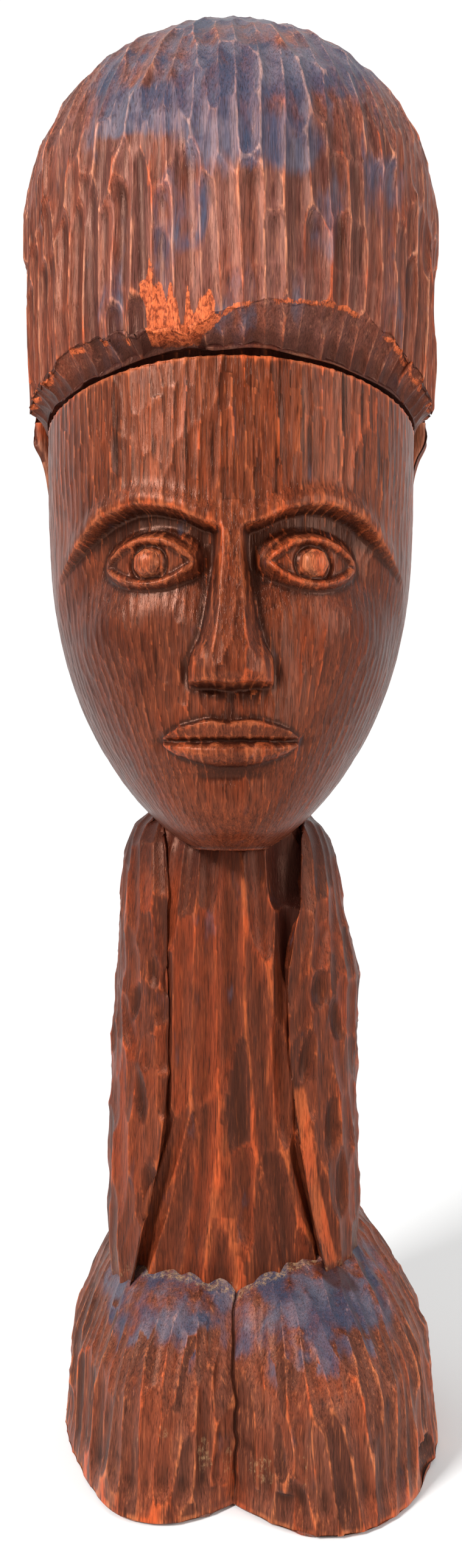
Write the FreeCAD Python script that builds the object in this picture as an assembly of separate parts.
"""A kneeling ancestor figure carved from one round log, in millimetres.

The figure faces -Y and stands on the plane Z = 0. "Left" and "right" are the figure's own.
Each make_ function below makes one carved form, and the forms meet face to face at the
lines that the carver cut: the hairline, the jaw, the outlines of the arms, the fold of the
lap and the drying split that parts the thighs.
"""

import FreeCAD, Part
import math
import os

V = FreeCAD.Vector

# The whole figure
TOTAL_HEIGHT = 605.0
LOG_RADIUS = 91.5

# Hair: a dome over a bevelled brim, with a lobe that runs down to the nape
DOME_START_Z = 523.0
BRIM_Z = 456.5
HAIRLINE_Z = 443.0
HAIRLINE_RADIUS = 81.0
HAIR_BACK_PLANE_Y = 6.0
NAPE_Z = 300.0

# Head: an oval face block from the hairline to the chin, divided in equal thirds
FACE_HALF_WIDTH = 81.0
FACE_WIDEST_Z = 408.0
FACE_FRONT_Y = -81.0
CHIN_Z = 255.0
FACE_THIRD = (HAIRLINE_Z - CHIN_Z) / 3.0
BROW_Z = HAIRLINE_Z - FACE_THIRD
NOSE_BASE_Z = BROW_Z - FACE_THIRD
MOUTH_Z = NOSE_BASE_Z - FACE_THIRD / 3.0
EYE_WIDTH = 2.0 * FACE_HALF_WIDTH / 5.0
EYE_X = EYE_WIDTH
EYE_Z = BROW_Z - 15.0
EYE_TURN = 14.0
MOUTH_HALF_WIDTH = 26.0

# Iris knobs, each seated in a round socket in the eye
IRIS_RADIUS = 5.6
IRIS_DEPTH = 8.0
IRIS_DOME = 2.4

# Neck, torso and arms
NECK_CENTRE_Y = 14.0
NECK_HALF_WIDTH = 38.0
NECK_HALF_DEPTH = 29.5
SHOULDER_Z = 268.0
TRUNK_BOTTOM_Z = 64.0
TORSO_HALF_WIDTH = 43.0
TORSO_FRONT_Y = -50.0
TORSO_BACK_Y = 46.0
ARM_FRONT_Y = -52.0
ARM_BACK_Y = 47.0
ARM_REAR_EDGE_Y = 26.0

# Lap: two thighs in front of a seat, all three scaled about the corner where they meet
SPLIT_X = 2.0
SEAT_Y = 5.0
LAP_TOP_Z = 96.0
SEAT_BACK_Y = 84.0
LEVEL_STEP = 8.0


def signed_power(value, power):
    return math.copysign(abs(value) ** power, value)


def smooth(table, z):
    """A monotone cubic through the rows (z, value) of table, read at z."""
    rows = sorted(table)
    z = min(max(z, rows[0][0]), rows[-1][0])
    slopes = [(b[1] - a[1]) / (b[0] - a[0]) for a, b in zip(rows, rows[1:])]
    tangents = [slopes[0]]
    for before, after in zip(slopes, slopes[1:]):
        same_way = before * after > 0.0
        tangents.append(2.0 * before * after / (before + after) if same_way else 0.0)
    tangents.append(slopes[-1])
    i = next(i for i in range(len(slopes)) if z <= rows[i + 1][0])
    width = rows[i + 1][0] - rows[i][0]
    t = (z - rows[i][0]) / width
    return (
        (1 + 2 * t) * (1 - t) ** 2 * rows[i][1]
        + t * (1 - t) ** 2 * width * tangents[i]
        + t * t * (3 - 2 * t) * rows[i + 1][1]
        + t * t * (t - 1) * width * tangents[i + 1]
    )


def levels(low, high, step):
    """Evenly spaced heights from low to high, about step apart."""
    count = max(2, int(round((high - low) / step)))
    return [low + (high - low) * i / count for i in range(count + 1)]


def smooth_curve(points, closed=False):
    """One spline edge through points."""
    curve = Part.BSplineCurve()
    curve.interpolate(points, PeriodicFlag=closed)
    return curve.toShape()


def oval_wire(z, left, right, front, back, centre_y=0.0, power=2.3, count=24):
    """A closed superellipse at height z. Its four reaches are measured from the centre."""
    points = []
    for i in range(count):
        angle = 2.0 * math.pi * i / count
        across = signed_power(math.sin(angle), 2.0 / power)
        along = signed_power(math.cos(angle), 2.0 / power)
        x = across * (left if across > 0 else right)
        y = along * (back if along > 0 else front)
        points.append(V(x, centre_y + y, z))
    return Part.Wire([smooth_curve(points, closed=True)])


def half_oval_wire(z, half_width, flat_y, reach_y, power=2.2, count=15):
    """Half a superellipse at height z, closed by a straight side at flat_y."""
    points = []
    for i in range(count):
        angle = math.pi * i / (count - 1)
        x = half_width * signed_power(math.cos(angle), 2.0 / power)
        y = flat_y + (reach_y - flat_y) * signed_power(math.sin(angle), 2.0 / power)
        points.append(V(x, y, z))
    return Part.Wire([smooth_curve(points), Part.makeLine(points[-1], points[0])])


def loft(wires):
    return Part.makeLoft(wires, True, False)


def ellipsoid(centre, radii):
    matrix = FreeCAD.Matrix()
    matrix.scale(V(*radii))
    ball = Part.makeSphere(1.0).transformGeometry(matrix)
    ball.translate(V(*centre))
    return ball


def almond(centre, half_width, half_height, depth):
    """A lens with pointed corners left and right: two ellipsoids that overlap."""
    shift = (half_width**2 - half_height**2) / (2.0 * half_height)
    tall = half_height + shift
    x, y, z = centre
    above = ellipsoid((x, y, z + shift), (tall, depth * tall / half_height * 0.55, tall))
    below = ellipsoid((x, y, z - shift), (tall, depth * tall / half_height * 0.55, tall))
    slab = ellipsoid(centre, (half_width * 1.25, depth, half_height * 1.6))
    return above.common(below).common(slab)


def make_hair():
    """The dome and its bevelled brim, turned about the log's axis, and the lobe behind."""
    rise = TOTAL_HEIGHT - DOME_START_Z
    arc_points = []
    for i in range(13):
        angle = math.pi / 2.0 * i / 12.0
        arc_points.append(V(LOG_RADIUS * math.cos(angle), 0, DOME_START_Z + rise * math.sin(angle)))
    curve = Part.BSplineCurve()
    curve.interpolate(arc_points, InitialTangent=V(0, 0, 1), FinalTangent=V(-1, 0, 0))
    corners = [
        V(0, 0, TOTAL_HEIGHT),
        V(0, 0, HAIRLINE_Z),
        V(HAIRLINE_RADIUS, 0, HAIRLINE_Z),
        V(LOG_RADIUS - 1.2, 0, BRIM_Z),
        V(LOG_RADIUS, 0, BRIM_Z + 16.0),
        V(LOG_RADIUS, 0, DOME_START_Z),
    ]
    sides = [Part.makeLine(a, b) for a, b in zip(corners, corners[1:])]
    profile = Part.Face(Part.Wire(sides + [curve.toShape()]))
    dome = profile.revolve(V(0, 0, 0), V(0, 0, 1), 360.0)

    half_widths = [(NAPE_Z, 51.0), (316.0, 63.0), (345.0, 73.0), (382.0, 78.5), (418.0, 81.5), (BRIM_Z, 89.0)]
    reaches = [(NAPE_Z, 52.0), (318.0, 64.0), (345.0, 72.0), (382.0, 79.0), (418.0, 84.5), (BRIM_Z, 89.0)]
    wires = []
    for z in levels(NAPE_Z, BRIM_Z, 12.0):
        wires.append(half_oval_wire(z, smooth(half_widths, z), HAIR_BACK_PLANE_Y, smooth(reaches, z), 2.05))
    return dome.fuse(loft(wires)).removeSplitter()


def face_half_width(z):
    """An oval: widest at the temples, closing to the chin."""
    if z >= FACE_WIDEST_Z:
        return FACE_HALF_WIDTH
    share = (FACE_WIDEST_Z - z) / (FACE_WIDEST_Z - CHIN_Z + 5.0)
    return FACE_HALF_WIDTH * (1.0 - share**2.5) ** 0.62


def face_front(z):
    """How far forward the face comes at height z."""
    table = [(CHIN_Z, -64.0), (262.0, -71.5), (275.0, -76.0), (300.0, -78.5), (350.0, -80.0), (400.0, FACE_FRONT_Y)]
    return smooth(table, z)


def jaw_back(z):
    """Where the block's flat back lies: the underside of the jaw rises to the neck."""
    table = [(CHIN_Z, -44.0), (262.0, -28.0), (275.0, -8.0), (290.0, HAIR_BACK_PLANE_Y)]
    return smooth(table, z)


def face_y(x, z):
    """The face block's front surface at x and z."""
    share = 1.0 - (abs(x) / face_half_width(z)) ** 2.2
    return jaw_back(z) + (face_front(z) - jaw_back(z)) * max(share, 0.0) ** (1.0 / 2.2)


def make_nose():
    """A straight bridge that widens to the wings."""
    sections = [  # height, half width, how far it stands proud
        (BROW_Z - 3.0, 7.5, 2.0),
        (EYE_Z, 8.0, 5.0),
        (NOSE_BASE_Z + 22.0, 12.0, 9.5),
        (NOSE_BASE_Z + 7.0, EYE_WIDTH / 2.0 + 1.0, 12.0),
        (NOSE_BASE_Z, EYE_WIDTH / 2.0, 10.5),
    ]
    wires = []
    for z, half, proud in sections:
        root = face_y(half, z) + 6.0
        tip = face_y(0.0, z) - proud
        corners = [
            V(-half, root, z),
            V(-half, root - 9.0, z),
            V(-half * 0.35, tip, z),
            V(half * 0.35, tip, z),
            V(half, root - 9.0, z),
            V(half, root, z),
        ]
        wires.append(Part.makePolygon(corners + corners[:1]))
    return Part.makeLoft(wires, True, True)


def turn_eye(shape, side):
    """Turn a form made at the eye outwards, to sit on the curve of the face."""
    shape.rotate(V(side * EYE_X, face_y(EYE_X, EYE_Z), EYE_Z), V(0, 0, 1), side * EYE_TURN)
    return shape


def make_iris(side):
    """A whittled knob: a short round peg with a domed end, seated in the eye."""
    x, y, z = side * EYE_X, face_y(EYE_X, EYE_Z), EYE_Z
    peg = Part.makeCylinder(IRIS_RADIUS, IRIS_DEPTH, V(x, y + IRIS_DEPTH, z), V(0, -1, 0))
    knob = peg.fuse(ellipsoid((x, y, z), (IRIS_RADIUS, IRIS_DOME, IRIS_RADIUS)))
    return turn_eye(knob.removeSplitter(), side)


def make_head(hair, irises):
    wires = []
    for z in levels(CHIN_Z, HAIRLINE_Z, 10.0):
        wires.append(half_oval_wire(z, face_half_width(z), jaw_back(z), face_front(z)))
    head = loft(wires)
    for side in (-1, 1):
        x, y = side * EYE_X, face_y(EYE_X, EYE_Z)
        socket = ellipsoid((x, y - 9.0, EYE_Z + 1.0), (24.0, 17.0, 15.0))
        eye = almond((x, y + 16.0, EYE_Z), EYE_WIDTH / 2.0 + 1.0, 8.5, 17.0)
        head = head.cut(turn_eye(socket, side)).fuse(turn_eye(eye, side))
    head = head.fuse(make_nose())
    lip_y = face_y(0.0, MOUTH_Z) + 10.0
    lips = almond((0.0, lip_y, MOUTH_Z), MOUTH_HALF_WIDTH, 9.5, 15.0)
    parting = ellipsoid((0.0, lip_y - 16.0, MOUTH_Z + 0.5), (MOUTH_HALF_WIDTH - 1.0, 5.0, 1.1))
    head = head.fuse(lips).cut(parting)
    return head.cut(hair).cut(Part.makeCompound(irises)).removeSplitter()


def make_neck(head, torso):
    """A short column that rises out of the shoulders and widens under the nape."""
    widths = [(SHOULDER_Z - 16.0, 0.90), (272.0, 0.93), (NAPE_Z, 1.0)]
    wires = []
    for z in levels(SHOULDER_Z - 16.0, NAPE_Z, 8.0):
        share = smooth(widths, z)
        half, depth = NECK_HALF_WIDTH * share, NECK_HALF_DEPTH * share
        wires.append(oval_wire(z, half, half, depth, depth, NECK_CENTRE_Y))
    return loft(wires).cut(head).cut(torso)


def trunk_wire(z, left, right, front, back, power=2.4):
    return oval_wire(z, left, right, -front, back, power=power)


def make_torso():
    """The chest and belly between the arms: rounded at the shoulders, squarer towards the lap."""
    half_widths = [(TRUNK_BOTTOM_Z, 47.0), (95.0, 46.5), (130.0, 44.5), (160.0, 43.5), (190.0, TORSO_HALF_WIDTH),
                   (230.0, 42.0), (252.0, 40.0), (262.0, 37.0)]
    depths = [(TRUNK_BOTTOM_Z, 0.96), (110.0, 1.0), (190.0, 1.0), (230.0, 0.975), (252.0, 0.93), (262.0, 0.86)]
    squareness = [(TRUNK_BOTTOM_Z, 3.2), (120.0, 3.1), (190.0, 2.9), (240.0, 2.6), (262.0, 2.5)]
    wires = []
    for z in levels(TRUNK_BOTTOM_Z, 262.0, LEVEL_STEP):
        half, depth = smooth(half_widths, z), smooth(depths, z)
        wires.append(trunk_wire(z, half, half, TORSO_FRONT_Y * depth, TORSO_BACK_Y * depth, smooth(squareness, z)))
    return loft(wires)


def arms_envelope():
    """The trunk's outer surface with both arms on it, before they are cut apart."""
    left = [(TRUNK_BOTTOM_Z, 56.0), (95.0, 56.5), (150.0, 56.0), (195.0, 57.5), (224.0, 51.5), (250.0, 46.5),
            (262.0, 41.5), (SHOULDER_Z, 35.0)]
    right = [(TRUNK_BOTTOM_Z, 50.0), (95.0, 54.0), (150.0, 54.0), (195.0, 52.0), (224.0, 50.0), (250.0, 47.5),
             (262.0, 44.0), (SHOULDER_Z, 38.0)]
    depth = [(TRUNK_BOTTOM_Z, 0.94), (110.0, 1.0), (200.0, 1.0), (235.0, 0.95), (255.0, 0.88), (SHOULDER_Z, 0.72)]
    squareness = [(TRUNK_BOTTOM_Z, 3.1), (110.0, 3.1), (200.0, 2.4), (SHOULDER_Z, 2.4)]
    wires = []
    for z in levels(TRUNK_BOTTOM_Z, SHOULDER_Z, LEVEL_STEP):
        share = smooth(depth, z)
        front, back = ARM_FRONT_Y * share, ARM_BACK_Y * share
        wires.append(trunk_wire(z, smooth(left, z), smooth(right, z), front, back, smooth(squareness, z)))
    return loft(wires)


def arm_block(side, inner_edge):
    """A block through the trunk that leaves one arm: its inner edge is a smooth line."""
    far = side * 75.0
    points = [V(side * x, -75.0, z) for x, z in inner_edge]
    first, last = points[0], points[-1]
    outer = Part.makePolygon([last, V(far, -75.0, last.z), V(far, -75.0, first.z), first])
    face = Part.Face(Part.Wire([smooth_curve(points)] + outer.Edges))
    return face.extrude(V(0, 75.0 + ARM_REAR_EDGE_Y, 0))


def make_arm(side, inner_edge, envelope, neighbours):
    arm = envelope.common(arm_block(side, inner_edge))
    for neighbour in neighbours:
        arm = arm.cut(neighbour)
    return arm


LEFT_ARM_EDGE = [(20.0, 276.0), (21.0, 225.0), (23.0, 175.0), (27.0, 135.0), (34.0, 98.0), (46.0, 56.0)]
RIGHT_ARM_EDGE = [(29.0, 276.0), (25.5, 225.0), (24.5, 175.0), (27.5, 135.0), (34.0, 105.0), (45.0, 56.0)]
RIGHT_THIGH = [(2, -69), (-9, -77), (-25, -82), (-41, -78), (-55, -60), (-66, -35), (-73, -8), (-74, 5)]
LEFT_THIGH = [(2, -69), (13, -80), (35, -90), (59, -81), (77, -57), (87, -30), (90, -8), (90, 5)]


def lap_side_share(z):
    table = [(0.0, 1.0), (20.0, 0.985), (44.0, 0.955), (55.0, 0.91), (65.0, 0.845), (76.0, 0.768),
             (87.0, 0.67), (92.0, 0.61), (LAP_TOP_Z, 0.52)]
    return smooth(table, z)


def lap_front_share(z):
    table = [(0.0, 1.0), (30.0, 0.995), (45.0, 0.975), (57.0, 0.92), (67.0, 0.85), (75.0, 0.765),
             (84.0, 0.58), (LAP_TOP_Z, 0.30)]
    return smooth(table, z)


def lap_edge(z, outline, share_x, share_y):
    """One side of the lap at height z, scaled about the inner corner."""
    return smooth_curve([
        V(SPLIT_X + (x - SPLIT_X) * share_x, SEAT_Y + (y - SEAT_Y) * share_y, z)
        for x, y in outline
    ])


def make_lap():
    """Both thighs and the seat as one form: a lobed front and half an oval behind."""
    left_x, right_x = LEFT_THIGH[-1][0], RIGHT_THIGH[-1][0]
    middle, half = (left_x + right_x) / 2.0, (left_x - right_x) / 2.0
    seat = []
    for i in range(13):
        angle = math.pi * i / 12.0
        x = middle + half * signed_power(math.cos(angle), 0.92)
        y = SEAT_Y + (SEAT_BACK_Y - SEAT_Y) * signed_power(math.sin(angle), 0.92)
        seat.append((x, y))
    wires = []
    for z in levels(0.0, LAP_TOP_Z, LEVEL_STEP):
        side, front = lap_side_share(z), lap_front_share(z)
        wires.append(Part.Wire([
            lap_edge(z, LEFT_THIGH, side, front),
            lap_edge(z, seat, side, side),
            lap_edge(z, RIGHT_THIGH[::-1], side, front),
        ]))
    return loft(wires)


def part_lap(lap):
    """The lap cut by two planes: the split between the thighs and the front of the seat."""
    size = 300.0
    left_box = Part.makeBox(size, size, size, V(SPLIT_X, SEAT_Y - size, -10.0))
    right_box = Part.makeBox(size, size, size, V(SPLIT_X - size, SEAT_Y - size, -10.0))
    seat_box = Part.makeBox(2.0 * size, size, size, V(-size, SEAT_Y, -10.0))
    return {
        "left_thigh": lap.common(left_box),
        "right_thigh": lap.common(right_box),
        "seat": lap.common(seat_box),
    }


def main():
    hair = make_hair()
    irises = {"left_iris": make_iris(1), "right_iris": make_iris(-1)}
    head = make_head(hair, list(irises.values()))
    lap = make_lap()
    torso = make_torso().cut(lap).cut(head)
    neck = make_neck(head, torso)
    envelope = arms_envelope()
    neighbours = [lap, torso, neck, head]
    arms = {
        "left_arm": make_arm(1, LEFT_ARM_EDGE, envelope, neighbours),
        "right_arm": make_arm(-1, RIGHT_ARM_EDGE, envelope, neighbours),
    }
    nodes = {"hair": hair, "head": head, "neck": neck, "torso": torso}
    for group in (irises, arms, part_lap(lap)):
        nodes.update(group)
    os.makedirs("parts", exist_ok=True)
    for name, shape in nodes.items():
        shape.exportStep("parts/%s.step" % name)
        print("%-12s valid %s solids %d volume %.0f" % (name, shape.isValid(), len(shape.Solids), shape.Volume))


main()
